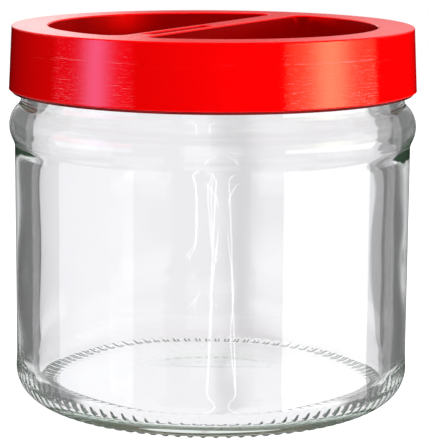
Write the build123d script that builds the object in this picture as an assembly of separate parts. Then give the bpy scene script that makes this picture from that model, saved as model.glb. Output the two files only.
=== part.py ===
"""Sourdough starter jar: a screw-top glass jar, its moulded lid and the seal ring between them.

Millimetres, +Z up. The origin is on the jar's axis, in the plane that the jar stands on.
The lid is drawn screwed home, turned as it sits in the photograph.
"""
from build123d import *
import math
import os

# The jar's outside, from the plane that it stands on up to its rim
jar_height = 93.0
body_radius = 50.57
neck_step = 1.67
shoulder_step = 1.41
shoulder_drop = 22.2
shoulder_upper_curve = 6.6
shoulder_lower_curve = 7.5
heel_step = 0.19
heel_curve = 8.0
heel_blend = 3.0
neck_fillet = 1.5
panel_fillet = 1.2
rim_outer_fillet = 1.2

# The jar's inside and its base
body_wall = 3.5
neck_wall = 4.2
rim_inner_fillet = 1.4
shoulder_wall = 3.8
neck_blend_height = 5.6
panel_blend_height = 8.0
inner_heel_curve = 5.5
floor_thickness = 4.0
punt_height = 3.0
punt_edge_height = 0.6
floor_crown = 3.0
bearing_width = 3.2

# The fine bars round the bearing ring
knurl_count = 92
knurl_depth = 0.45
knurl_groove = 1.5
knurl_flat = 1.6
knurl_length = 3.6

# The screw thread, one start and right-handed, which the jar and the lid share
thread_lead = 6.0
thread_turns = 1.15
thread_depth = 0.8
thread_root_width = 2.2
thread_crest_width = 1.2
thread_start = 2.9
thread_bite = 0.35
thread_side_gap = 0.3
thread_end_gap = 0.2

# The lid: its skirt, rim and recess
lid_height = 16.7
lid_top_wall = 1.8
skirt_wall = 1.25
skirt_gap = 0.15
skirt_flare = 0.9
skirt_edge_fillet = 0.35
rim_edge_fillet = 0.4
recess_depth = 11.0
recess_wall = 1.4
recess_floor = 1.5
recess_draft = 1.0
recess_edge_fillet = 0.45
recess_floor_fillet = 1.0
mouth_gap = 1.5

# The grip bar across the recess, hollow from below, and the bare sunk panel on its top
bar_width = 6.6
bar_turn = 28.5
bar_root_fillet = 4.0
bar_wall = 1.5
bar_top_wall = 1.9
panel_lip = 1.2
panel_depth = 0.5
panel_near_end = 33.5
panel_far_end = 2.5
panel_corner = 0.8

# The seal ring
seal_thickness = 1.2
seal_side_gap = 0.3

# How far cutters run past the faces that they cut, and how near a circle must be to be picked
overrun = 2.0
picking_share = 0.01


# Sizes that follow from those above
neck_radius = body_radius - neck_step
shoulder_radius = body_radius + shoulder_step
shoulder_height = jar_height - shoulder_drop
heel_radius = body_radius + heel_step
bearing_outer_radius = heel_radius - heel_curve
bearing_inner_radius = bearing_outer_radius - bearing_width
body_inner_radius = body_radius - body_wall
mouth_radius = neck_radius - neck_wall
shoulder_inner_radius = shoulder_radius - shoulder_wall
floor_height = punt_height + floor_thickness

thread_crest_radius = neck_radius + thread_depth
thread_rise = thread_lead * thread_turns
thread_pitch_offset = (thread_root_width + thread_crest_width) / 2 + thread_end_gap
jar_thread_base = jar_height - thread_start - thread_rise

ceiling_height = jar_height + seal_thickness
lid_top_height = ceiling_height + lid_top_wall
lid_base_height = lid_top_height - lid_height
skirt_inner_top = thread_crest_radius + skirt_gap
skirt_inner_base = skirt_inner_top + skirt_flare
skirt_outer_top = skirt_inner_top + skirt_wall
skirt_outer_base = skirt_outer_top + skirt_flare
recess_wall_radius = mouth_radius - mouth_gap
recess_radius = recess_wall_radius - recess_wall
recess_floor_height = lid_top_height - recess_depth
recess_underside_height = recess_floor_height - recess_floor
recess_taper = math.degrees(math.atan2(recess_draft, recess_depth))
lid_thread_radius = neck_radius + thread_side_gap
rim_land_radius = recess_radius + recess_wall


def turned(outline):
    """A solid of revolution from a closed outline of radius and height."""
    return revolve(Plane.XZ * make_face(outline), Axis.Z)


def arc_drop(curve, reach):
    """How far above or below its widest point an arc of this radius has come in by reach."""
    return math.sqrt(curve**2 - (curve - reach) ** 2)


def crown_radius(half_width, rise):
    """The radius of a shallow dome that rises by this much over this half width."""
    return (half_width**2 + rise**2) / (2 * rise)


def sway(top, foot):
    """Two arcs that ease from one radius to another, upright at both ends."""
    middle = ((top[0] + foot[0]) / 2, (top[1] + foot[1]) / 2)
    first = TangentArc(top, middle, tangent=(0, -1))
    return [first, TangentArc(middle, foot, tangent=first % 1)]


def circles_at(solid, radius, height):
    """The circles of a turned solid that have this radius and lie at this height."""
    near = body_wall * picking_share
    circles = solid.edges().filter_by(GeomType.CIRCLE)
    circles = [e for e in circles if abs(e.radius - radius) < near]
    return [e for e in circles if abs(e.center().Z - height) < near]


def screw_ridge(root_radius, crest_radius, base_height):
    """One helical ridge, thick where it leaves the wall and thin at its crest."""
    path = Helix(thread_lead, thread_rise, root_radius, center=(0, 0, base_height))
    start = Plane(origin=path @ 0, x_dir=(1, 0, 0), z_dir=path % 0)
    depth = crest_radius - root_radius
    section = Polygon(
        (0, -thread_root_width / 2),
        (depth, -thread_crest_width / 2),
        (depth, thread_crest_width / 2),
        (0, thread_root_width / 2),
        align=None,
    )
    return sweep(start * section, path=path, is_frenet=True)


# Where the shoulder bead runs into the neck above it and the panel below it
neck_foot_height = shoulder_height + arc_drop(shoulder_upper_curve, shoulder_radius - neck_radius)
panel_top_height = shoulder_height - arc_drop(shoulder_lower_curve, shoulder_radius - body_radius)


def jar_outline():
    """The half section of the glass, on the side where X is the radius."""
    neck_foot = (neck_radius, neck_foot_height)
    panel_top = (body_radius, panel_top_height)
    shoulder_peak = (shoulder_radius, shoulder_height)

    # Outside, from the bearing ring up to the rim
    bearing = Line((bearing_inner_radius, 0), (bearing_outer_radius, 0))
    heel = JernArc(bearing @ 1, (1, 0), heel_curve, 90)
    heel_top = Line(heel @ 1, (body_radius, heel_curve + heel_blend))
    panel = Line(heel_top @ 1, panel_top)
    under_bead = RadiusArc(panel_top, shoulder_peak, -shoulder_lower_curve)
    over_bead = RadiusArc(shoulder_peak, neck_foot, -shoulder_upper_curve)
    neck = Line(neck_foot, (neck_radius, jar_height))
    rim = Line(neck @ 1, (mouth_radius, jar_height))

    # Inside, from the rim down to the floor, with the glass about even through the bead
    blend_top = (mouth_radius, shoulder_height + neck_blend_height)
    blend_peak = (shoulder_inner_radius, shoulder_height)
    blend_foot = (body_inner_radius, shoulder_height - panel_blend_height)
    mouth = Line(rim @ 1, blend_top)
    widening = sway(blend_top, blend_peak)
    narrowing = sway(blend_peak, blend_foot)
    floor_edge = floor_height - floor_crown
    heel_start = (body_inner_radius, floor_edge + inner_heel_curve)
    heel_foot = (body_inner_radius - inner_heel_curve, floor_edge)
    inside = Line(blend_foot, heel_start)
    inner_heel = RadiusArc(heel_start, heel_foot, inner_heel_curve)
    floor_curve = crown_radius(heel_foot[0], floor_crown)
    floor_face = RadiusArc(heel_foot, (0, floor_height), -floor_curve)

    # The pushed-up base, from the axis out to the bearing ring
    axis = Line((0, floor_height), (0, punt_height))
    punt_foot = (bearing_inner_radius, punt_edge_height)
    punt_curve = crown_radius(bearing_inner_radius, punt_height - punt_edge_height)
    punt = RadiusArc(axis @ 1, punt_foot, punt_curve)
    step = Line(punt_foot, bearing @ 0)
    outside = [bearing, heel, heel_top, panel, under_bead, over_bead, neck, rim]
    inner = [mouth, *widening, *narrowing, inside, inner_heel, floor_face]
    return outside + inner + [axis, punt, step]


def make_jar():
    jar = turned(jar_outline())
    jar = fillet(circles_at(jar, neck_radius, neck_foot_height), neck_fillet)
    jar = fillet(circles_at(jar, body_radius, panel_top_height), panel_fillet)
    jar = fillet(circles_at(jar, neck_radius, jar_height), rim_outer_fillet)
    jar = fillet(circles_at(jar, mouth_radius, jar_height), rim_inner_fillet)
    jar += screw_ridge(neck_radius - thread_bite, thread_crest_radius, jar_thread_base)

    # Grooves across the outer edge of the bearing ring leave the fine bars standing
    groove_start = bearing_inner_radius + knurl_flat
    groove_round = (knurl_groove / 2) ** 2 / (2 * knurl_depth) + knurl_depth / 2
    groove = Cylinder(groove_round, knurl_length, align=(Align.CENTER, Align.CENTER, Align.MIN))
    groove = Pos(groove_start, 0, knurl_depth - groove_round) * Rot(0, 90, 0) * groove
    grooves = [Rot(0, 0, 360 * i / knurl_count) * groove for i in range(knurl_count)]
    return jar - grooves


def make_lid():
    section = Polygon(
        (0, lid_top_height),
        (skirt_outer_top, lid_top_height),
        (skirt_outer_base, lid_base_height),
        (skirt_inner_base, lid_base_height),
        (skirt_inner_top, ceiling_height),
        (recess_wall_radius, ceiling_height),
        (recess_wall_radius - recess_draft, recess_underside_height),
        (0, recess_underside_height),
        align=None,
    )
    lid = revolve(Plane.XZ * section, Axis.Z)
    lid = fillet(circles_at(lid, skirt_outer_top, lid_top_height), rim_edge_fillet)
    lid = fillet(circles_at(lid, skirt_outer_base, lid_base_height), skirt_edge_fillet)

    # Two wells, one on each side of the grip bar
    wells = Circle(recess_radius) - Rectangle(bar_width, 2 * recess_radius)
    wells = fillet(wells.vertices(), bar_root_fillet)
    well_cut = extrude(Plane.XY.offset(lid_top_height) * wells, -recess_depth, taper=recess_taper)
    well_floor = well_cut.edges().group_by(Axis.Z)[0]
    lid -= fillet(well_floor, recess_floor_fillet)
    well_rim = [e for e in lid.edges().group_by(Axis.Z)[-1] if e.bounding_box().max.X < rim_land_radius]
    lid = fillet(well_rim, recess_edge_fillet)

    # The bar is hollow from below
    slot_height = lid_top_height - bar_top_wall - recess_underside_height
    slot_length = 2 * (recess_radius - recess_draft - bar_wall)
    slot = extrude(Rectangle(bar_width - 2 * bar_wall, slot_length), slot_height + overrun)
    lid -= Pos(0, 0, recess_underside_height - overrun) * slot

    # The bare sunk panel lies on the near half of the bar
    panel_length = panel_near_end - panel_far_end
    panel_middle = (panel_near_end + panel_far_end) / 2
    panel = RectangleRounded(bar_width - 2 * panel_lip, panel_length, panel_corner)
    lid -= Pos(0, -panel_middle, lid_top_height - panel_depth) * extrude(panel, panel_depth + overrun)
    lid = Rot(0, 0, -bar_turn) * lid

    thread_root = skirt_inner_base + thread_bite
    return lid + screw_ridge(thread_root, lid_thread_radius, jar_thread_base - thread_pitch_offset)


def make_seal():
    outer = skirt_inner_top - seal_side_gap
    inner = recess_wall_radius + seal_side_gap
    ring = Circle(outer) - Circle(inner)
    return Pos(0, 0, jar_height) * extrude(ring, seal_thickness)


os.makedirs("parts", exist_ok=True)
pieces = {"glass_jar": make_jar(), "lid": make_lid(), "seal_ring": make_seal()}
for name, piece in pieces.items():
    export_step(piece, f"parts/{name}.step")
    print(name, "volume", round(piece.volume), "height", round(piece.bounding_box().size.Z, 2))
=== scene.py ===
# %% [markdown]
# A short glass storage jar with a red screw lid, dressed for its portrait.
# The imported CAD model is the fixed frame: it says how big each piece is, where it sits and how it
# moves. This script only gives the pieces their finished surfaces. The glass and the lid are made
# again as fine meshes, because light bends and glints on every facet of a coarse one.

# %%
# Load the frame
import math

import bmesh
import bpy
import numpy as np
from mathutils import Matrix, Vector, noise


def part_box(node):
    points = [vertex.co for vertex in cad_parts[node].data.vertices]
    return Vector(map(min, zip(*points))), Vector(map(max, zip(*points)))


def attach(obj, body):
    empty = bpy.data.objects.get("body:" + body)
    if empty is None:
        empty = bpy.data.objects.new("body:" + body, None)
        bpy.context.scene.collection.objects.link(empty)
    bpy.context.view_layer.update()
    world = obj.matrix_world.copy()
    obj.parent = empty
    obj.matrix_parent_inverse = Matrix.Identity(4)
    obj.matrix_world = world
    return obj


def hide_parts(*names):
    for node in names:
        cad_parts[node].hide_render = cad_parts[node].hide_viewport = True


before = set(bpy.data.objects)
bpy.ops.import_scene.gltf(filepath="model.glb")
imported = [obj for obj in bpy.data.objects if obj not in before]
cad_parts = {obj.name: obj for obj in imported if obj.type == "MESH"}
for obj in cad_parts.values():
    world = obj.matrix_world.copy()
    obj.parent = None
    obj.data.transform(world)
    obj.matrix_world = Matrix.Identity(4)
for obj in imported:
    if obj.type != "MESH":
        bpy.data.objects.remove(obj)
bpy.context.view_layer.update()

_, jar_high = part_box("glass_jar")
lid_low, lid_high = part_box("lid")
_, seal_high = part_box("seal_ring")

# %% [markdown]
# The camera comes first, because everything else is judged through it. A round jar tells a lot
# about its own photograph: the lid's top and bottom edges are circles, and how flat their ellipses
# look gives the height of the lens above each of them. The distance follows from how fast that
# changes from one edge to the other. The lens is long, half a metre away and a little above the lid.

# %%
# Camera
photo_width, photo_height = 429, 444
focal_pixels = 1964.2
film_size = 36.0
lens_distance = 0.5005
lens_height = 0.13604
lens_pitch = math.radians(10.31)
lens_turn = math.radians(0.074)
lens_roll = math.radians(0.40)
nearest_seen, farthest_seen = 0.05, 20.0


def stand(name, data):
    made = bpy.data.objects.new(name, data)
    bpy.context.scene.collection.objects.link(made)
    return made


def make_camera():
    data = bpy.data.cameras.new("camera")
    data.sensor_width = film_size
    data.lens = film_size * focal_pixels / max(photo_width, photo_height)
    data.clip_start = nearest_seen
    data.clip_end = farthest_seen
    camera = stand("camera", data)
    place = Matrix.Translation((0, -lens_distance, lens_height))
    aim = Matrix.Rotation(-lens_turn, 4, "Z") @ Matrix.Rotation(math.pi / 2 - lens_pitch, 4, "X")
    camera.matrix_world = place @ aim @ Matrix.Rotation(lens_roll, 4, "Z")
    bpy.context.scene.camera = camera
    return camera


camera = make_camera()
print("lens, mm:", round(camera.data.lens, 1))

# %% [markdown]
# Shader networks read better as sums than as boxes and wires. This small class wraps a socket, so
# that `mask * 0.3 + 0.1` adds its Math nodes by itself. Every other node comes from `Shader.node`,
# which first sets the node's options and then fills its sockets with numbers, colours or wires.

# %%
# Wires that can be added and multiplied


class Wire:
    """An output socket that takes part in Python arithmetic."""

    def __init__(self, shader, socket):
        self.shader, self.socket = shader, socket

    def math(self, operation, *others):
        values = dict(enumerate([self, *others]))
        return self.shader.node("ShaderNodeMath", {"operation": operation}, values)

    def __add__(self, other):
        return self.math("ADD", other)

    __radd__ = __add__

    def __sub__(self, other):
        return self.math("SUBTRACT", other)

    def __rsub__(self, other):
        return self.shader.node("ShaderNodeMath", {"operation": "SUBTRACT"}, {0: other, 1: self})

    def __mul__(self, other):
        return self.math("MULTIPLY", other)

    __rmul__ = __mul__

    def __truediv__(self, other):
        return self.math("DIVIDE", other)

    def __pow__(self, other):
        return self.math("POWER", other)

    def __abs__(self):
        return self.math("ABSOLUTE")

    def __lt__(self, other):
        return self.math("LESS_THAN", other)

    def bell(self, middle, width):
        """A bell curve: 1 at the middle and about a third of that one width away."""
        return (((self - middle) / width) ** 2 * -1).math("EXPONENT")


# %% [markdown]
# A few nodes come back in every shader here, so each gets a short name of its own.

# %%
# A shader, and the nodes that are used most


class Shader:
    """A node tree that starts empty and hands out wires."""

    def __init__(self, tree):
        self.tree = tree
        tree.nodes.clear()

    def node(self, kind, settings=None, sockets=None, output=0):
        made = self.tree.nodes.new(kind)
        for name, value in (settings or {}).items():
            setattr(made, name, value)
        for name, value in (sockets or {}).items():
            if isinstance(value, Wire):
                self.tree.links.new(value.socket, made.inputs[name])
            else:
                made.inputs[name].default_value = value
        return Wire(self, made.outputs[output]) if len(made.outputs) else None

    def other(self, wire, output):
        """Another output of the node that a wire comes from."""
        return Wire(self, wire.socket.node.outputs[output])

    def mix(self, factor, low, high, blend="MIX"):
        """A colour between two others."""
        options = {"data_type": "RGBA", "blend_type": blend}
        return self.node("ShaderNodeMix", options, {0: factor, 6: low, 7: high}, output=2)

    def step(self, value, low, high, start=0.0, end=1.0):
        """A smooth rise from start to end as value goes from low to high."""
        options = {"interpolation_type": "SMOOTHSTEP"}
        places = {0: value, 1: low, 2: high, 3: start, 4: end}
        return self.node("ShaderNodeMapRange", options, places)

    def band(self, value, first, last):
        """1 between two soft edges, each given by where it is 0 and where it is 1."""
        return self.step(value, *first) * self.step(value, *last)

    def own_place(self):
        """The piece's own coordinates, which stay with it when it moves."""
        return self.node("ShaderNodeTexCoord", output=3)

    def mottle(self, place, scale, detail):
        """A soft random pattern in space."""
        values = {"Vector": place, "Scale": scale, "Detail": detail}
        return self.node("ShaderNodeTexNoise", {}, values)

    def bump(self, height, strength, distance):
        """A normal that tilts as if the surface rose and fell with the height."""
        values = {"Strength": strength, "Distance": distance, "Height": height}
        return self.node("ShaderNodeBump", {}, values)


def new_material(name):
    material = bpy.data.materials.new(name)
    material.use_nodes = True
    return material, Shader(material.node_tree)


# %% [markdown]
# A studio for clear glass is mostly what the glass sees. Straight through the jar it sees the white
# backdrop. Near its edges the rays bend past the backdrop into the grey room beside it, and that
# grey is what draws the outline. The red lid needs the opposite: a dark room with two tall soft
# boxes, one on each side, which it mirrors as upright stripes.
#
# All of this can be one world shader that answers each kind of ray in its own way. It goes by where
# a ray heads: its bearing in degrees from straight behind the jar, or from straight in front of it,
# and its rise, from -1 for straight down to 1 for straight up. Positive bearings lie to the right.

# %%
# Where a ray heads
white = (1.0, 1.0, 1.0, 1.0)
black = (0.0, 0.0, 0.0, 1.0)
degrees_per_radian = 180 / math.pi


def grey(level):
    return (level, level, level, 1.0)


def bearings(s):
    """Bearing from straight behind, bearing from straight in front, and rise."""
    direction = s.node("ShaderNodeTexCoord")
    x = s.node("ShaderNodeSeparateXYZ", {}, {0: direction})
    y, rise = s.other(x, 1), s.other(x, 2)
    behind = x.math("ARCTAN2", y) * degrees_per_radian
    front = x.math("ARCTAN2", y * -1) * degrees_per_radian
    return behind, front, rise


# %% [markdown]
# Thin bright lines run down the middle of the glass. They are images of something narrow and bright
# that stands low in front of the jar, so two thin slanted strip lights will do.

# %%
# Two slanted strip lights
strip_light = 5.0
strip_width = 0.35
strip_bearings = ((2.3, -5.4), (9.3, 5.6))
strip_top, strip_foot = -0.155, -0.285
strip_fade = 0.02


def strip_lights(s, front, rise):
    """Each strip has a bearing at its top, and another number of degrees by which it leans."""
    down = (rise - strip_top) / (strip_foot - strip_top)
    foot_edge = (strip_foot - strip_fade, strip_foot)
    top_edge = (strip_top + strip_fade, strip_top)
    strips = []
    for top, lean in strip_bearings:
        away = abs(front - (down * lean + top))
        across = s.step(away, 2 * strip_width, 0.5 * strip_width)
        strips.append(across * s.band(rise, foot_edge, top_edge))
    return (strips[0] + strips[1]) * strip_light


# %% [markdown]
# Through itself the glass sees white panels in a grey room, over a white floor. The panel straight
# behind is the backdrop. Its right end falls to grey in two steps, as the glass does there in the
# photograph, and it has a faint dark line near its middle. The room's ceiling is a darker grey.
#
# More panels stand every 45 degrees, so that the glass is clear from other sides too. Each reaches
# only the heights that the views from its side need, because elsewhere it would show in the
# photograph's view, as a bright streak in the grey outline.

# %%
# What the glass lets through
grey_room, grey_ceiling = 0.22, 0.08
ceiling_edge = (0.32, 0.42)
panel_spacing = 45.0
panel_half = 18.0
panel_edge = 0.4
panel_narrowing = 6.0
narrowing_edge = (-0.34, -0.40)
panel_top = (0.62, 0.52)
upper_part = (-0.15, -0.11)
lower_part = (-0.16, -0.20)
lowest_part = ((-0.28, -0.32), (-0.53, -0.48))
same_panel = 0.1
shade_width = 1.0
shade_steps = ((12.6, 0.58), (16.0, 0.42))
shade_end = (25.0, 20.0)
dip_depth, dip_place, dip_width = 0.26, 1.3, 0.9
white_floor_edge = (-0.66, -0.76)


def backdrop(s, behind, rise):
    away = abs(behind)
    number = (away / panel_spacing).math("ROUND")
    beside = abs(away - number * panel_spacing)
    narrowing = s.step(rise, *narrowing_edge) * panel_narrowing
    panel = s.step(narrowing * -1 + panel_half - beside, -panel_edge, panel_edge)
    upper, lower = s.step(rise, *upper_part), s.step(rise, *lower_part)
    shown = number < 0.5
    for which, heights in enumerate((s.band(rise, *lowest_part), upper, lower, upper), 1):
        shown = shown + number.math("COMPARE", which, same_panel) * heights
    steps = [s.step(behind, start, start + shade_width) * share for start, share in shade_steps]
    shade = (steps[0] + steps[1]) * s.step(behind, *shade_end)
    dip = behind.bell(dip_place, dip_width) * dip_depth
    panel = panel * shown * (1 - shade) * (1 - dip) * s.step(rise, *panel_top)
    panel = panel.math("MAXIMUM", s.step(rise, *white_floor_edge))
    room = s.step(rise, *ceiling_edge, grey_room, grey_ceiling)
    return panel * (1 - room) + room


# %% [markdown]
# Shiny surfaces mirror another room. It is dark, with a dim floor, a paler far wall for the lid's
# flat rim, brightest at the left, and a soft box on each side. The left box is magenta and the right
# one yellow, which red plastic turns into pink and orange stripes. The skirt leans back a little and
# sends its rays higher than the upright glass does. So each box can be coloured in its upper part,
# for the lid, and white in its lower part, for the glass.

# %%
# What shiny surfaces mirror
dark_room = 0.003
floor_glow = 0.15
floor_glow_edge = (-0.50, -0.62)
far_wall_edge = (92.0, 86.0)
far_wall_heights = ((0.02, 0.05), (0.9, 0.3))
far_glow = 0.20
far_glow_spots = ((1.15, (-1.0, -5.0), (-20.0, -12.0)), (0.42, (1.0, 5.0), (20.0, 12.0)))
box_heights = ((-0.36, -0.30), (0.28, 0.16))
box_split = (-0.11, -0.08)
box_edge = 0.4
soft_boxes = {
    "right": {
        "sides": (41.0, 102.0),
        "middle": 67.7,
        "width": 13.0,
        "edge_light": (0.4, 0.4, 0.18, 1.0),
        "light": (2.9, 2.9, 1.4, 1.0),
        "low_light": (3.6, 3.6, 3.5, 1.0),
    },
    "left": {
        "sides": (-98.0, -45.0),
        "middle": -67.7,
        "width": 9.0,
        "edge_light": (1.4, 0.01, 0.05, 1.0),
        "light": (2.6, 1.15, 2.5, 1.0),
        "low_light": (1.6, 1.65, 1.85, 1.0),
    },
}


def soft_box(s, box, front, rise):
    start, end = box["sides"]
    sides = s.band(front, (start - box_edge, start + box_edge), (end + box_edge, end - box_edge))
    inside = sides * s.band(rise, *box_heights)
    light = s.mix(front.bell(box["middle"], box["width"]), box["edge_light"], box["light"])
    light = s.mix(s.step(rise, *box_split), box["low_light"], light)
    return s.mix(inside, black, light)


def mirrored_room(s, behind, front, rise, strips):
    far_wall = s.step(abs(behind), *far_wall_edge) * s.band(rise, *far_wall_heights)
    glow = far_glow
    for light, first, last in far_glow_spots:
        glow = s.band(behind, first, last) * (light - far_glow) + glow
    level = s.step(rise, *floor_glow_edge) * floor_glow + dark_room + far_wall * glow + strips
    room = s.node("ShaderNodeCombineColor", {}, {0: level, 1: level, 2: level})
    for box in soft_boxes.values():
        room = s.mix(1.0, room, soft_box(s, box, front, rise), "ADD")
    return room


# %% [markdown]
# The world then asks each ray what kind it is. One straight from the camera gets the white of the
# background, one that passed through glass gets the backdrop, a trace bluer, and one that was
# mirrored gets the dark room. A ray that only adds up the light on a painted surface gets a dim even
# sky, so that the lamps do that work.

# %%
# World
cool_tone = (0.985, 0.975, 1.0)
sky_level, under_level = 0.10, 0.01
horizon = (-0.02, 0.02)


def make_world():
    world = bpy.data.worlds.new("studio")
    bpy.context.scene.world = world
    world.use_nodes = True
    s = Shader(world.node_tree)
    behind, front, rise = bearings(s)
    strips = strip_lights(s, front, rise)
    level = backdrop(s, behind, rise) + strips
    tones = {channel: level * tone for channel, tone in enumerate(cool_tone)}
    through = s.node("ShaderNodeCombineColor", {}, tones)
    mirrored = mirrored_room(s, behind, front, rise, strips)
    sky = s.mix(s.step(rise, *horizon), grey(under_level), grey(sky_level))

    from_camera = s.node("ShaderNodeLightPath")
    was_mirrored = s.other(from_camera, "Is Glossy Ray")
    passed_glass = s.other(from_camera, "Is Transmission Ray")
    colour = s.mix(was_mirrored, sky, mirrored)
    colour = s.mix(passed_glass, colour, through)
    colour = s.mix(from_camera, colour, white)
    shine = s.node("ShaderNodeBackground", {}, {"Color": colour, "Strength": 1.0})
    s.node("ShaderNodeOutputWorld", {}, {"Surface": shine})
    return len(world.node_tree.nodes)


print("world nodes:", make_world())

# %% [markdown]
# Five area lamps do the plain lighting of painted surfaces. The one at the left stands near the
# camera and the one at the right stands low, so that they skim over the lid's recess and leave it
# deep. A wide one fills in from the front, one lights the back, and one hangs above, a little to
# the right, for the flat rim and the wells. All are left out of reflections, where the world's
# soft boxes stand in for them.

# %%
# Lamps
lamp_aim = Vector((0, 0, 0.06))
lamps = {
    # bearing from the front, distance, height, width and height of the lamp, watts
    "left_lamp": (-28, 0.8, 0.36, (0.5, 0.24), 3.9),
    "right_lamp": (72, 0.8, 0.16, (0.5, 0.26), 6.0),
    "front_lamp": (4, 1.2, 0.42, (1.3, 0.20), 8.2),
    "back_lamp": (205, 0.8, 0.5, (0.5, 0.3), 4.0),
    "top_lamp": (95, 0.30, 1.0, (0.5, 0.5), 19.0),
}


def make_lamp(name, bearing, distance, height, size, power):
    data = bpy.data.lights.new(name, "AREA")
    data.shape = "RECTANGLE"
    data.size, data.size_y = size
    data.energy = power
    lamp = stand(name, data)
    turn = math.radians(bearing)
    lamp.location = (distance * math.sin(turn), -distance * math.cos(turn), height)
    lamp.rotation_mode = "QUATERNION"
    lamp.rotation_quaternion = (lamp_aim - lamp.location).to_track_quat("-Z", "Y")
    lamp.visible_glossy = False
    lamp.visible_transmission = False
    lamp.visible_camera = False
    return lamp


for name, facts in lamps.items():
    make_lamp(name, *facts)
print("lamps:", len(lamps))

# %% [markdown]
# The floor has to look as white as the background and still keep the jar's soft shadow. So to the
# camera it shines by itself for four fifths, and only the last fifth is paint. Other rays don't meet
# it, because the world has a floor of its own for them.

# %%
# Floor
floor_radius = 0.9
floor_corners = 96
floor_shine_share = 0.8
floor_shine = 1.12
floor_paint = 0.9


def make_floor():
    bm = bmesh.new()
    bmesh.ops.create_circle(bm, cap_ends=True, radius=floor_radius, segments=floor_corners)
    mesh = bpy.data.meshes.new("floor")
    bm.to_mesh(mesh)
    bm.free()
    floor = stand("floor", mesh)
    material, s = new_material("pale_floor")
    from_camera = s.node("ShaderNodeLightPath")
    paint = s.node("ShaderNodeBsdfDiffuse", {}, {"Color": grey(floor_paint)})
    shine = s.node("ShaderNodeEmission", {}, {"Color": white, "Strength": floor_shine})
    parts = {0: from_camera * floor_shine_share, 1: paint, 2: shine}
    surface = s.node("ShaderNodeMixShader", {}, parts)
    s.node("ShaderNodeOutputMaterial", {}, {"Surface": surface})
    mesh.materials.append(material)
    floor.visible_diffuse = False
    floor.visible_glossy = False
    floor.visible_transmission = False
    return floor


print("floor corners:", len(make_floor().data.vertices))

# %% [markdown]
# Both the glass and the lid are turned shapes, so they start as an outline of radius and height.
# An outline is lines and arcs joined end to end. Moulded glass has no sharp corners, so the joined
# outline is smoothed along its length, then sampled closely where it curves and sparsely where it
# runs straight. That puts the mesh's faces where light needs them.

# %%
# Outline helpers
smallest_gap = 1e-9
blur_reach = 3


def line(start, end):
    return np.array([start, end], float)


def arc(centre, radius, first, last, count=40):
    """Points on a circle from one angle to another, in degrees."""
    angle = np.radians(np.linspace(first, last, count))
    return np.column_stack([centre[0] + radius * np.cos(angle), centre[1] + radius * np.sin(angle)])


def smooth_step(value, low, high):
    share = np.clip((value - low) / (high - low), 0, 1)
    return share * share * (3 - 2 * share)


def picked(points, along, places):
    """Points at some places along a path."""
    return np.column_stack([np.interp(places, along, points[:, i]) for i in (0, 1)])


def even_steps(points, spacing):
    """The same path with points at an even spacing."""
    gap = np.hypot(*np.diff(points, axis=0).T)
    points = points[np.concatenate([[True], gap > smallest_gap])]
    along = np.concatenate([[0], np.cumsum(np.hypot(*np.diff(points, axis=0).T))])
    return picked(points, along, np.linspace(0, along[-1], int(along[-1] / spacing) + 2))


def softened(points, spacing, softness):
    """Rounds a path's corners by averaging it along its length, with its two ends kept."""
    reach = int(blur_reach * softness / spacing)
    weight = np.exp(-0.5 * (np.arange(-reach, reach + 1) * spacing / softness) ** 2)
    weight /= weight.sum()
    before = 2 * points[0] - points[reach:0:-1]
    after = 2 * points[-1] - points[-2 : -reach - 2 : -1]
    padded = np.vstack([before, points, after])
    return np.column_stack([np.convolve(padded[:, i], weight, "valid") for i in (0, 1)])


def sampled(points, density):
    """Picks points along a path: density says how many per metre are wanted at each one."""
    step = np.hypot(*np.diff(points, axis=0).T)
    wanted = density(points)
    total = np.concatenate([[0], np.cumsum(step * (wanted[1:] + wanted[:-1]) / 2)])
    return picked(points, total, np.linspace(0, total[-1], int(total[-1]) + 2))


# %% [markdown]
# The jar's glass. Its outside goes from the pushed-up base over the bearing ring, the rounded heel,
# the straight panel and the shoulder bead to the neck, and its inside comes back down. The inside
# could be a plain offset of the outside, but blown glass is softer than its mould: it swells gently
# behind the bead, and its floor and base are soft crowns. The wall's thickness decides how far a ray
# bends, and so how wide the dark outline is. The frame gives the height and the greatest radius.

# %%
# The jar's sizes, in metres
jar_height = jar_high.z
shoulder_radius = jar_high.x
shoulder_swell = 0.00141
neck_step = 0.00167
heel_swell = 0.00019
body_radius = shoulder_radius - shoulder_swell
neck_radius = body_radius - neck_step
heel_radius = body_radius + heel_swell
shoulder_drop = 0.0222
shoulder_height = jar_height - shoulder_drop
shoulder_upper_curve = 0.0066
shoulder_lower_curve = 0.0075
shoulder_wall = 0.0038
heel_curve = 0.008
heel_blend = 0.003
bearing_width = 0.0032
punt_height = 0.003
body_wall = 0.0035
neck_wall = 0.0042
rim_curve = 0.0013
neck_blend = 0.0056
panel_blend = 0.008
inner_heel_curve = 0.0055
floor_thickness = 0.004
floor_crown = 0.003
glass_softness = 0.0006
path_spacing = 0.0001
jar_radii = (shoulder_radius, body_radius, neck_radius)
print("jar radius at bead, panel and neck, mm:", [round(1000 * r, 2) for r in jar_radii])

# %% [markdown]
# Two curves need a shape of their own. `swell` is the soft crown of the floor and of the base, and
# `sway` takes the wall from one radius to another and is upright at both ends.

# %%
# The glass outline


def swell(rise, half_width, foot_height, count=80):
    """A crown over the axis that starts level at half_width and is level again in the middle."""
    radius = np.linspace(half_width, 0, count)
    wave = np.cos(math.pi / 2 * radius / half_width) ** 2
    return np.column_stack([radius, foot_height + rise * wave])


def sway(top, foot, count=30):
    """Eases from one radius to another, upright at both ends."""
    share = np.linspace(0, 1, count)
    ease = share * share * (3 - 2 * share)
    return np.array(top) + (np.array(foot) - top) * np.column_stack([ease, share])


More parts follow.
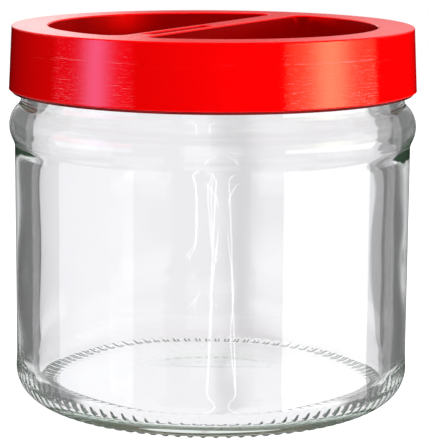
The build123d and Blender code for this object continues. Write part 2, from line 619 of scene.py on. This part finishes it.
def glass_outline():
    bearing_outer = heel_radius - heel_curve
    bearing_inner = bearing_outer - bearing_width
    mouth = neck_radius - neck_wall
    inside = body_radius - body_wall
    under = math.degrees(math.acos(1 - (shoulder_radius - body_radius) / shoulder_lower_curve))
    over = math.degrees(math.acos(1 - (shoulder_radius - neck_radius) / shoulder_upper_curve))
    lower_centre = (shoulder_radius - shoulder_lower_curve, shoulder_height)
    upper_centre = (shoulder_radius - shoulder_upper_curve, shoulder_height)
    rim_outer = (neck_radius - rim_curve, jar_height - rim_curve)
    rim_inner = (mouth + rim_curve, jar_height - rim_curve)
    inner_bead = (shoulder_radius - shoulder_wall, shoulder_height)
    floor_edge = punt_height + floor_thickness - floor_crown
    heel_middle = (inside - inner_heel_curve, floor_edge + inner_heel_curve)
    parts = [
        swell(punt_height, bearing_inner, 0)[::-1],
        line((bearing_inner, 0), (bearing_outer, 0)),
        arc((bearing_outer, heel_curve), heel_curve, -90, 0),
        line((body_radius, heel_curve + heel_blend), (body_radius, heel_curve + 2 * heel_blend)),
        arc(lower_centre, shoulder_lower_curve, -under, 0),
        arc(upper_centre, shoulder_upper_curve, 0, over),
        arc(rim_outer, rim_curve, 0, 90),
        arc(rim_inner, rim_curve, 90, 180),
        sway((mouth, shoulder_height + neck_blend), inner_bead),
        sway(inner_bead, (inside, shoulder_height - panel_blend)),
        arc(heel_middle, inner_heel_curve, 0, -90),
        swell(floor_crown, heel_middle[0], floor_edge),
    ]
    path = even_steps(np.vstack(parts), path_spacing)
    path = softened(path, path_spacing, glass_softness)
    path[:, 0] = np.maximum(path[:, 0], 0)
    return path


# %% [markdown]
# A fine mesh everywhere would be slow, so each stretch of the outline gets the rows of faces that
# it needs: most at the ribs and the thread, fewest along the straight panel.

# %%
# Rows of faces per metre of outline
panel_rows, curve_rows, outer_curve_rows = 220.0, 780.0, 1050.0
ring_rows, thread_rows, base_rows = 2300.0, 1700.0, 240.0
low_curves, high_curves = 0.016, 0.062
ring_height, ring_radius = 0.0042, 0.0385
thread_zone_depth, thread_zone_rise = 0.0012, 0.008
base_radius = 0.036


def glass_density(points):
    radius, height = points.T
    outer = radius > body_radius - body_wall / 2
    near_ring = (height < ring_height) & (radius > ring_radius)
    above_bead = height > shoulder_height + thread_zone_rise
    on_neck = (radius > neck_radius - thread_zone_depth) & above_bead
    curved = (height < low_curves) | (height > high_curves)
    wanted = np.where(curved, curve_rows, panel_rows)
    wanted = np.where(near_ring, ring_rows, wanted)
    wanted = np.where(on_neck, thread_rows, wanted)
    wanted = np.where(curved & outer & ~near_ring & ~on_neck, outer_curve_rows, wanted)
    return np.where(radius < base_radius, base_rows, wanted)


jar_turn_steps = 552
outline = sampled(glass_outline(), glass_density)
print("glass outline points:", len(outline), "faces:", 2 * len(outline) * jar_turn_steps)

# %% [markdown]
# Turning the outline gives a grid of points by angle and height, which numpy can move all at once.
# The first detail is the screw thread: a ridge that climbs round the neck by one lead in each turn
# and fades out at both ends. The lid's half of the thread uses the same sizes.

# %%
# A turned grid, and the screw thread
thread_lead = 0.006
thread_turns = 1.15
thread_depth = 0.0008
thread_root_width = 0.0022
thread_crest_width = 0.0012
thread_start = 0.0029
thread_fade = math.radians(14)
neck_foot = 0.007


def turned_grid(path, steps):
    """Angle, radius and height of each point, one row for each point of the outline."""
    angle = np.linspace(0, 2 * math.pi, steps, endpoint=False)
    return np.meshgrid(angle, path[:, 0])[0], *(np.repeat(path[:, [i]], steps, axis=1) for i in (0, 1))


def ridge_height(angle, height, foot, reach):
    """How far a one-start helical ridge stands out at each point, from 0 to reach."""
    tallest = np.zeros_like(height)
    for lap in range(math.ceil(thread_turns) + 1):
        along = angle + 2 * math.pi * lap
        centre = foot + thread_lead * along / (2 * math.pi)
        away = np.abs(height - centre)
        shape = 1 - smooth_step(away, thread_crest_width / 2, thread_root_width / 2)
        last = 2 * math.pi * thread_turns
        ends = smooth_step(along, 0, thread_fade) * (1 - smooth_step(along, last - thread_fade, last))
        tallest = np.maximum(tallest, reach * shape * ends)
    return tallest


def raise_thread(angle, radius, height, outer):
    neck = outer & (radius > neck_radius - rim_curve) & (height > shoulder_height + neck_foot)
    foot = jar_height - thread_start - thread_lead * thread_turns
    return radius + np.where(neck, ridge_height(angle, height, foot, thread_depth), 0)


# %% [markdown]
# Fine ribs across the bearing ring keep a hot jar from scuffing on the line. Each is a narrow crest
# on a flat ground, so it is the ground that is pressed in, by a third of a millimetre. The ribs
# cover the outer half of the ring and fade out a little way up the heel. A mould made of two halves
# also leaves a fine seam on two sides of the shoulder and the neck.

# %%
# Ribs and seams
rib_count = 92
rib_depth = 0.00034
rib_sides = (0.26, 0.40)
rib_shift = math.pi / jar_turn_steps
rib_start = 0.0016
rib_rise = 0.0005
rib_fade = (0.40, 0.62)
seam_angle = math.radians(-54)
seam_height = 0.00009
seam_width = 0.00035
seam_foot = 0.05
seam_rise = (0.058, 0.064)


def press_ribs(angle, radius, height, outer):
    pitch = 2 * math.pi / rib_count
    beside = np.abs(((angle + rib_shift) / pitch + 0.5) % 1 - 0.5)
    start = heel_radius - heel_curve - bearing_width + rib_start
    turn = np.arccos(np.clip(1 - height / heel_curve, 0, 1))
    ground = rib_depth * (1 - smooth_step(beside, *rib_sides))
    ground = ground * smooth_step(radius, start, start + rib_rise)
    ground = ground * (1 - smooth_step(turn, *rib_fade))
    lowest = outer & (radius > start) & (height < heel_curve)
    turn = np.where(radius > heel_radius - heel_curve, turn, 0)
    height = np.where(lowest, height + ground * np.cos(turn), height)
    radius = np.where(lowest, radius - ground * np.sin(turn), radius)
    return radius, height


def raise_seams(angle, radius, height, outer):
    for side in (seam_angle, seam_angle + math.pi):
        across = (angle - side + math.pi) % (2 * math.pi) - math.pi
        seam = seam_height * np.exp(-((across * radius / seam_width) ** 2))
        seam = seam * smooth_step(height, *seam_rise)
        radius = radius + np.where(outer & (height > seam_foot), seam, 0)
    return radius


# %% [markdown]
# Pressed and blown glass is never even: its inside face wanders by a tenth of a millimetre or two,
# and that is what makes real jars shimmer. So the inside gets a slow noise, the floor a finer one,
# and the outside, which the mould shaped, hardly any.

# %%
# The unevenness of the glass
inside_wander = 0.00016
outside_wander = 0.00002
wander_waves = ((1.6, 4.0, 1.0), (4.5, 9.0, 0.4))
upright_waves = 60
still_middle = (0.02, 0.035)
still_rim = (0.001, 0.01)
still_heel = (0.006, 0.012)
floor_wander = 0.00005
floor_waves = 60
floor_reach = 0.0005
floor_still_middle = (0.008, 0.025)


def noise_at(x, y, z):
    """A smooth noise in space, from about -1 to 1."""
    flat = [noise.noise(Vector(place)) for place in zip(x.ravel(), y.ravel(), z.ravel())]
    return np.array(flat).reshape(x.shape)


def slow_noise(angle, height, waves, seed):
    """A smooth noise round a cylinder."""
    return noise_at(waves * np.cos(angle), waves * np.sin(angle), seed + upright_waves * height)


def unsettle(angle, radius, height, outer):
    wander = sum(share * slow_noise(angle, height, waves, seed) for waves, seed, share in wander_waves)
    amount = np.where(outer, outside_wander, inside_wander) * smooth_step(radius, *still_middle)
    amount = amount * smooth_step(jar_height - height, *still_rim)
    amount = amount * np.where(outer, smooth_step(height, *still_heel), 1)
    radius = radius + wander * amount * np.where(outer, -1, 1)
    floor = ~outer & (height < punt_height + floor_thickness + floor_reach)
    x, y = (floor_waves * radius * turn for turn in (np.cos(angle), np.sin(angle)))
    ripple = floor_wander * smooth_step(radius, *floor_still_middle) * noise_at(x, y, height)
    return radius, height + np.where(floor, ripple, 0)


# %% [markdown]
# The grid now becomes a mesh. Its first and last rows lie on the axis, so each of them is a single
# point with a fan of triangles, and all the faces between are four-sided.

# %%
# The glass mesh


def grid_mesh(name, angle, radius, height):
    rows, steps = angle.shape
    ring = np.stack([radius * np.cos(angle), radius * np.sin(angle), height], axis=-1)[1:-1]
    points = np.vstack([ring.reshape(-1, 3), [[0, 0, height[0, 0]], [0, 0, height[-1, 0]]]])
    side = np.arange(steps)
    beside = (side + 1) % steps
    row_starts = np.arange(rows - 3)[:, None] * steps
    here, there = row_starts + side[None, :], row_starts + beside[None, :]
    quads = np.stack([here, there, there + steps, here + steps], axis=-1).reshape(-1, 4)
    first, last = len(points) - 2, len(points) - 1
    top = (rows - 3) * steps
    faces = quads.tolist()
    faces += np.stack([np.full(steps, first), beside, side], axis=-1).tolist()
    faces += np.stack([np.full(steps, last), top + side, top + beside], axis=-1).tolist()
    mesh = bpy.data.meshes.new(name)
    mesh.from_pydata(points.tolist(), [], faces)
    mesh.shade_smooth()
    return mesh


def make_glass():
    angle, radius, height = turned_grid(outline, jar_turn_steps)
    outer = np.arange(len(outline))[:, None] <= int(np.argmax(outline[:, 1]))
    radius = raise_thread(angle, radius, height, outer)
    radius, height = press_ribs(angle, radius, height, outer)
    radius = raise_seams(angle, radius, height, outer)
    radius, height = unsettle(angle, radius, height, outer)
    jar = stand("jar_glass", grid_mesh("jar_glass", angle, radius, height))
    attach(jar, "jar")
    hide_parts("glass_jar")
    return jar


jar = make_glass()
print("glass points:", len(jar.data.vertices))

# %% [markdown]
# Clear soda-lime glass: a smooth surface with an index of 1.52, and a trace of green that only
# shows where light travels a long way inside, at the heel and beside the shoulder. The green is a
# volume, because paint on the surface would tint the thin wall as well. One part of the volume takes
# light away, and the other gives off a little: painted light, a green glow that stands in for light
# that gets into a thick edge from all round, or the outline would turn too dark. Lamps must reach
# the floor and the jar's inside, so for shadow rays the glass is merely a pale filter.

# %%
# Glass
glass_index = 1.52
glass_tint = (0.68, 0.86, 0.75, 1.0)
glass_tint_density = 4.0
# Painted light: colour and strength of the glow that the glass volume gives off by itself
edge_glow_colour = (0.60, 1.0, 0.64, 1.0)
edge_glow_level = 0.5
shadow_filter = (0.92, 0.95, 0.93, 1.0)
ripple_scale, ripple_detail = 55.0, 1.0
ripple_strength, ripple_height = 0.06, 0.0004


def glass_material():
    material, s = new_material("clear_glass")
    ripple = s.mottle(s.own_place(), ripple_scale, ripple_detail)
    finish = {
        "Base Color": white,
        "Roughness": 0.0,
        "IOR": glass_index,
        "Transmission Weight": 1.0,
        "Normal": s.bump(ripple, ripple_strength, ripple_height),
    }
    glass = s.node("ShaderNodeBsdfPrincipled", {}, finish)
    shadow = s.other(s.node("ShaderNodeLightPath"), "Is Shadow Ray")
    clear = s.node("ShaderNodeBsdfTransparent", {}, {"Color": shadow_filter})
    surface = s.node("ShaderNodeMixShader", {}, {0: shadow, 1: glass, 2: clear})
    tint_values = {"Color": glass_tint, "Density": glass_tint_density}
    tint = s.node("ShaderNodeVolumeAbsorption", {}, tint_values)
    # Painted light: the glass volume glows a little by itself
    edge_glow = s.node("ShaderNodeEmission", {}, {"Color": edge_glow_colour, "Strength": edge_glow_level})
    inside = s.node("ShaderNodeAddShader", {}, {0: tint, 1: edge_glow})
    s.node("ShaderNodeOutputMaterial", {}, {"Surface": surface, "Volume": inside})
    return material


jar.data.materials.append(glass_material())
print("glass index:", glass_index)

# %% [markdown]
# The lid is one moulding, but not one turned shape: its top is cut by two half-round wells with a
# bar between them. Each well is a stack of rings of the same outline, each a little smaller and
# lower than the last, so its rounded rim, sloping wall and floor are all one strip of faces. A
# narrow flat border round each opening keeps the shading of the flat rim flat. The frame gives the
# lid's height and its base radius.

# %%
# The lid's sizes, in metres
lid_top, lid_base = lid_high.z, lid_low.z
ceiling_height = seal_high.z
skirt_flare = 0.0009
skirt_base_radius = min(lid_high.x, lid_high.y)
skirt_top_radius = skirt_base_radius - skirt_flare
skirt_wall = 0.00125
skirt_round = 0.0002
recess_wall_radius = 0.0432
recess_radius = 0.0418
recess_depth = 0.011
recess_floor = 0.0015
recess_draft = 0.001
recess_round = 0.00045
recess_floor_round = 0.001
bar_width = 0.0066
bar_turn = math.radians(28.5)
bar_root_round = 0.004
bar_wall = 0.0015
bar_top_wall = 0.0019
border = 0.00015
lid_turn_steps = 384
print("lid height, mm:", round(1000 * (lid_top - lid_base), 2))

# %% [markdown]
# Rings of points are joined by strips of faces, and a small class keeps the mesh while that goes on.

# %%
# A moulding made of rings


class Moulding:
    """A mesh put together from rings of points."""

    def __init__(self):
        self.bm = bmesh.new()

    def ring(self, points):
        return [self.bm.verts.new(p) for p in points]

    def strip(self, rings):
        """Joins each ring to the next one."""
        for one, two in zip(rings, rings[1:]):
            count = len(one)
            for i in range(count):
                j = (i + 1) % count
                self.bm.faces.new((one[i], one[j], two[j], two[i]))

    def fill(self, *rings):
        """Fills the flat space between closed rings with triangles."""
        edges = []
        for ring in rings:
            for i in range(len(ring)):
                pair = (ring[i], ring[(i + 1) % len(ring)])
                edges.append(self.bm.edges.get(pair) or self.bm.edges.new(pair))
        bmesh.ops.triangle_fill(self.bm, use_beauty=True, edges=edges)

    def finish(self, name):
        bmesh.ops.recalc_face_normals(self.bm, faces=self.bm.faces)
        mesh = bpy.data.meshes.new(name)
        self.bm.to_mesh(mesh)
        self.bm.free()
        mesh.shade_smooth()
        return mesh


def circle(radius, height):
    angle = np.linspace(0, 2 * math.pi, lid_turn_steps, endpoint=False)
    return [(radius * math.cos(a), radius * math.sin(a), height) for a in angle]


def flat_ring(flat, height):
    return np.column_stack([flat, np.full(len(flat), height)])


# %% [markdown]
# The skirt is turned: from the flat rim over a small rounding, down the flared outside, and up the
# inside to the channel where the seal lies. Two details make it a real moulding. A bevel runs round
# its foot, which the photograph shows as a dark line, and a witness line, a faint dent where two
# parts of the mould met, runs round it below the rim. Rows close beside each edge keep the shading
# of the long faces flat.

# %%
# The skirt
rim_round = 0.0004
flare_degrees = 3
bevel_size = 0.0008
bevel_edge = 0.00004
support = 0.0003
witness_drop = 0.0055
witness_depth = 0.000025
witness_rows = (-0.0005, -0.00025, 0, 0.00025, 0.0005)
underside_round = 0.0006


def skirt_outline():
    """Radius and height from the flat rim over the edge, down the skirt and up inside it."""
    lean = skirt_flare / (lid_top - lid_base)
    rim = skirt_top_radius + lean * rim_round - rim_round
    path = [(rim - border, lid_top)]
    path += [tuple(p) for p in arc((rim, lid_top - rim_round), rim_round, 90, flare_degrees, 10)]
    bevel_drop = lid_top - lid_base - bevel_size
    drops = [rim_round + support, *(witness_drop + aside for aside in witness_rows)]
    for drop in (*drops, bevel_drop - support, bevel_drop - bevel_edge):
        dent = witness_depth if drop == witness_drop else 0
        path.append((skirt_top_radius + lean * drop - dent, lid_top - drop))

    # The bevel round the foot
    outer, bevel_top = skirt_base_radius, lid_base + bevel_size
    path += [
        (outer, bevel_top),
        (outer - bevel_edge, bevel_top - bevel_edge),
        (outer - bevel_edge - support / 2, bevel_top - bevel_edge - support / 4),
        (outer - bevel_size, lid_base + bevel_edge),
        (outer - bevel_size - bevel_edge, lid_base),
    ]

    # Up the inside, across the channel and down the recess wall
    inner = (outer - skirt_wall + skirt_round, lid_base + skirt_round)
    path += [tuple(p) for p in arc(inner, skirt_round, 270, 180, 6)]
    inner_top = skirt_top_radius - skirt_wall
    path += [(inner_top, ceiling_height - skirt_round), (inner_top - skirt_round, ceiling_height)]
    wall = recess_wall_radius
    path += [(wall + skirt_round, ceiling_height), (wall, ceiling_height - skirt_round)]
    under = lid_top - recess_depth - recess_floor
    corner = wall - recess_draft - underside_round
    path += [tuple(p) for p in arc((corner, under + underside_round), underside_round, 0, -90, 6)]
    return path + [(corner - border, under)]


# %% [markdown]
# A well's outline is a half circle closed by the bar, with rounded corners where they meet. Each
# ring is the same outline moved inward, so one function makes them all, and a second one gives the
# rings' inward moves and heights down the wall.

# %%
# The wells


def half_round(inset, height, corner_steps=10, arc_steps=96, bar_steps=40):
    """A closed ring of the well's outline, moved inward by inset."""
    reach = recess_radius - inset
    edge = bar_width / 2 + inset
    corner = bar_root_round - inset
    middle_x = edge + corner
    middle_y = math.sqrt((reach - corner) ** 2 - middle_x**2)
    meet = math.degrees(math.atan2(middle_y, middle_x))
    bar = [(edge, y) for y in np.linspace(middle_y, -middle_y, bar_steps)[1:-1]]
    low = arc((middle_x, -middle_y), corner, 180, 360 - meet, corner_steps)
    wide = arc((0, 0), reach, -meet, meet, arc_steps)[1:-1]
    high = arc((middle_x, middle_y), corner, meet, 180, corner_steps)
    return flat_ring(np.vstack([bar, low, wide, high]), height)


def rounded_drop(round_in, round_out, top, bottom, draft, count=7):
    """Insets and heights down a sloping wall that is rounded at its rim and at its foot."""
    quarter = np.linspace(0, math.pi / 2, count)
    rim = [(round_in * (math.sin(a) - 1), top - round_in * (1 - math.cos(a))) for a in quarter]
    foot_inset, foot_rise = draft + round_out, bottom + round_out
    foot = [(foot_inset - round_out * math.cos(a), foot_rise - round_out * math.sin(a)) for a in quarter]
    return rim + foot


def press_wells(m, floor):
    """Both wells. Returns their outermost rings, which lie in the flat rim."""
    profile = rounded_drop(recess_round, recess_floor_round, lid_top, floor, recess_draft)
    profile = [(-recess_round - border, lid_top)] + profile
    profile.append((recess_draft + recess_floor_round + border, floor))
    mouths = []
    for turn in (0, math.pi):
        spin = Matrix.Rotation(turn - bar_turn, 3, "Z")
        rings = [m.ring([spin @ Vector(p) for p in half_round(d, z)]) for d, z in profile]
        m.strip(rings)
        m.fill(rings[-1])
        mouths.append(rings[0])
    return mouths


# %% [markdown]
# The bar has a shallow sunk panel on the near half of its top. It is hollow from below, as a moulder
# would make it, so that the plastic is thin everywhere and sets evenly. Both are long boxes with
# rounded corners, again made of rings.

# %%
# The bar's panel and its hollow
panel_lip = 0.0012
panel_depth = 0.0005
panel_near_end = 0.0335
panel_far_end = 0.0025
panel_corner = 0.0008
panel_rings = (
    (-border, 0),
    (0, 0),
    (0.00006, 0.00003),
    (0.0001, 0.0001),
    (0.00014, panel_depth - 0.0001),
    (0.00024, panel_depth),
    (0.00024 + border, panel_depth),
)
hollow_corner = 0.0005
hollow_bevel = 0.00005
hollow_bevel_height = 0.0001


def rounded_slot(width, length, corner, middle, height, corner_steps=8, side_steps=24):
    """A closed ring round a long box with rounded corners."""
    x, y = width / 2 - corner, length / 2 - corner
    ends = [((x, y), 0), ((-x, y), 90), ((-x, -y), 180), ((x, -y), 270)]
    parts = []
    for i, (centre, first) in enumerate(ends):
        turn = arc((centre[0], centre[1] + middle), corner, first, first + 90, corner_steps)
        parts.append(turn)
        if i in (1, 3):
            start, end = turn[-1], turn[-1] + (0, (-2 if i == 1 else 2) * y)
            parts.append(np.linspace(start, end, side_steps)[1:-1])
    return flat_ring(np.vstack(parts), height)


def press_slot(m, size, middle, levels):
    """A long pocket in the bar's direction. Returns its outermost ring."""
    spin = Matrix.Rotation(-bar_turn, 3, "Z")
    rings = []
    for inset, height in levels:
        width, length, corner = size[0] - 2 * inset, size[1] - 2 * inset, size[2] - inset
        flat = rounded_slot(width, length, corner, middle, height)
        rings.append(m.ring([spin @ Vector(p) for p in flat]))
    m.strip(rings)
    m.fill(rings[-1])
    return rings[0]


def press_panel(m):
    size = (bar_width - 2 * panel_lip, panel_near_end - panel_far_end, panel_corner)
    middle = -(panel_near_end + panel_far_end) / 2
    return press_slot(m, size, middle, [(inset, lid_top - drop) for inset, drop in panel_rings])


def press_hollow(m, under):
    length = 2 * (recess_radius - recess_draft - bar_wall)
    size = (bar_width - 2 * bar_wall, length, hollow_corner)
    bevel_top = under + hollow_bevel_height
    roof = lid_top - bar_top_wall
    levels = ((-border, under), (0, under), (hollow_bevel, bevel_top), (hollow_bevel, roof))
    return press_slot(m, size, 0, levels)


# %% [markdown]
# The lid's half of the thread runs just below the jar's, with a little play, and is sunk into the
# skirt so that no gap shows. Its ends taper.

# %%
# The lid's thread
thread_play = 0.0002
thread_sink = 0.00035
crest_gap = 0.0003
crest_round = 0.0001
end_share = 0.25


def lid_thread(m):
    root = skirt_base_radius - skirt_wall + thread_sink
    crest = neck_radius + crest_gap
    offset = (thread_root_width + thread_crest_width) / 2 + thread_play
    foot = jar_height - thread_start - thread_lead * thread_turns - offset
    half_root, half_crest = thread_root_width / 2, thread_crest_width / 2
    whole = 2 * math.pi * thread_turns
    steps = int(lid_turn_steps * thread_turns)
    rings = []
    for i in range(steps + 1):
        along = whole * i / steps
        tall = float(smooth_step(np.array(min(along, whole - along)), 0, thread_fade))
        inner = root - (root - crest) * (end_share + (1 - end_share) * tall)
        middle = foot + thread_lead * along / (2 * math.pi)
        corners = (
            (root, -half_root),
            (inner + crest_round, -half_crest - crest_round),
            (inner, -half_crest + crest_round),
            (inner, half_crest - crest_round),
            (inner + crest_round, half_crest + crest_round),
            (root, half_root),
        )
        points = [(r * math.cos(along), r * math.sin(along), middle + z) for r, z in corners]
        rings.append(m.ring(points))
    m.strip(rings)
    m.bm.faces.new(rings[0])
    m.bm.faces.new(rings[-1])


# %% [markdown]
# Everything meets in two flat faces, which are filled with triangles: the rim and the underside.

# %%
# The lid mesh


def make_lid():
    m = Moulding()
    skirt = [m.ring(circle(r, z)) for r, z in skirt_outline()]
    m.strip(skirt)
    floor = lid_top - recess_depth
    mouths = press_wells(m, floor)
    m.fill(skirt[0], *mouths, press_panel(m))
    m.fill(skirt[-1], press_hollow(m, floor - recess_floor))
    lid_thread(m)
    lid = stand("red_lid", m.finish("red_lid"))
    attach(lid, "lid")
    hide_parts("lid")
    return lid


lid = make_lid()
print("lid points:", len(lid.data.vertices), "faces:", len(lid.data.polygons))

# %% [markdown]
# Red moulded plastic: strong clean colour under a soft gloss that varies a little. Plastic that
# flowed round a ring sets with very faint lines along the flow, so the bump runs round the lid.
#
# The wells and the skirt's bevel get a second finish. Its base colour is a far darker red: painted
# shade, for the little light that reaches into the wells and round the skirt's foot. They are a deep
# red without any pink, and yet a soft box glows in the left well's wall. Ordinary gloss would mirror
# it pink, so their mirror is stronger, softer and itself red. A mask by radius and height says where
# this finish lies, and a Mix Shader blends the two.

# %%
# Red plastic
red = (0.82, 0.0004, 0.0008, 1.0)
deep_red = (0.75, 0.0003, 0.0006, 1.0)
flow_stretch = 0.006
flow_scale, flow_detail = 2600.0, 2.0
cloud_scale, cloud_detail = 60.0, 3.0
grain_scale, grain_detail = 3500.0, 1.0
least_roughness, cloud_roughness, flow_roughness = 0.05, 0.03, 0.02
flow_share, grain_share = 0.7, 0.3
flow_strength, flow_height = 0.20, 0.0002
plastic_index = 1.5

# %%
# The painted shade and the red mirror of the wells and the bevel
# Painted shade: the wells and the bevel are coloured far darker red because little light reaches them
well_painted_shade_red = (0.200, 0.0003, 0.0003, 1.0)
deep_well_painted_shade_red = (0.150, 0.0003, 0.0003, 1.0)
well_roughness = 0.25
well_index = 2.2
well_mirror = (1.0, 0.0, 0.0, 1.0)
well_strength, well_height = 0.3, 0.00005
well_mask_drop = (0.00005, 0.0005)
well_mask_edge = 0.0006
bevel_mask_edge = 0.0001


def plastic_material():
    material, s = new_material("red_plastic")
    place = s.own_place()
    x = s.node("ShaderNodeSeparateXYZ", {}, {0: place})
    y, z = s.other(x, 1), s.other(x, 2)
    radius = (x * x + y * y) ** 0.5
    flow = {0: x.math("ARCTAN2", y) * flow_stretch, 1: radius, 2: z}
    lines = s.mottle(s.node("ShaderNodeCombineXYZ", {}, flow), flow_scale, flow_detail)
    cloud = s.mottle(place, cloud_scale, cloud_detail)
    grain = s.mottle(place, grain_scale, grain_detail)
    height = lines * flow_share + grain * grain_share
    gloss_finish = {
        "Base Color": s.mix(cloud, red, deep_red),
        "Roughness": cloud * cloud_roughness + lines * flow_roughness + least_roughness,
        "IOR": plastic_index,
        "Specular IOR Level": 1.0,
        "Normal": s.bump(height, flow_strength, flow_height),
    }
    gloss = s.node("ShaderNodeBsdfPrincipled", {}, gloss_finish)
    shaded_well_finish = {
        # Base colour with painted shade
        "Base Color": s.mix(cloud, well_painted_shade_red, deep_well_painted_shade_red),
        "Roughness": well_roughness,
        "IOR": well_index,
        "Specular IOR Level": 1.0,
        "Specular Tint": well_mirror,
        "Normal": s.bump(grain, well_strength, well_height),
    }
    shaded_well = s.node("ShaderNodeBsdfPrincipled", {}, shaded_well_finish)

    # Where the second finish, with its painted shade, lies
    below_rim = s.step(z, *(lid_top - drop for drop in well_mask_drop))
    well = s.step(radius, recess_radius + well_mask_edge, recess_radius) * below_rim
    bevel_top = lid_base + bevel_size
    bevel = s.step(z, bevel_top, bevel_top - bevel_mask_edge)
    where = well.math("MAXIMUM", bevel)
    surface = s.node("ShaderNodeMixShader", {}, {0: where, 1: gloss, 2: shaded_well})
    s.node("ShaderNodeOutputMaterial", {}, {"Surface": surface})
    return material


lid.data.materials.append(plastic_material())
print("lid materials:", len(lid.data.materials))

# %% [markdown]
# The seal ring stays as the CAD piece, which is already right, and only gets its finish: a pale
# elastomer, matt, with the faint mottling of a moulded gasket.

# %%
# Seal ring
seal_pale = (0.80, 0.79, 0.75, 1.0)
seal_shade = (0.70, 0.69, 0.66, 1.0)
seal_scale, seal_detail = 240.0, 3.0
seal_roughness, seal_roughness_change = 0.45, 0.15
seal_strength, seal_height = 0.2, 0.0001


def seal_material():
    material, s = new_material("seal_elastomer")
    mottle = s.mottle(s.own_place(), seal_scale, seal_detail)
    finish = {
        "Base Color": s.mix(mottle, seal_pale, seal_shade),
        "Roughness": mottle * seal_roughness_change + seal_roughness,
        "Normal": s.bump(mottle, seal_strength, seal_height),
    }
    surface = s.node("ShaderNodeBsdfPrincipled", {}, finish)
    s.node("ShaderNodeOutputMaterial", {}, {"Surface": surface})
    return material


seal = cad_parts["seal_ring"]
seal.data.materials.clear()
seal.data.materials.append(seal_material())
print("seal materials:", len(seal.data.materials))

# %% [markdown]
# Last come the view settings. A ray that is caught in the thick heel is thrown about many times,
# and ends black when it runs out of bounces, so those limits are raised.

# %%
# View settings and finish
most_bounces = 32
bpy.context.scene.view_settings.view_transform = "Standard"
cycles = bpy.context.scene.cycles
cycles.max_bounces = most_bounces
cycles.glossy_bounces = most_bounces
cycles.transmission_bounces = most_bounces
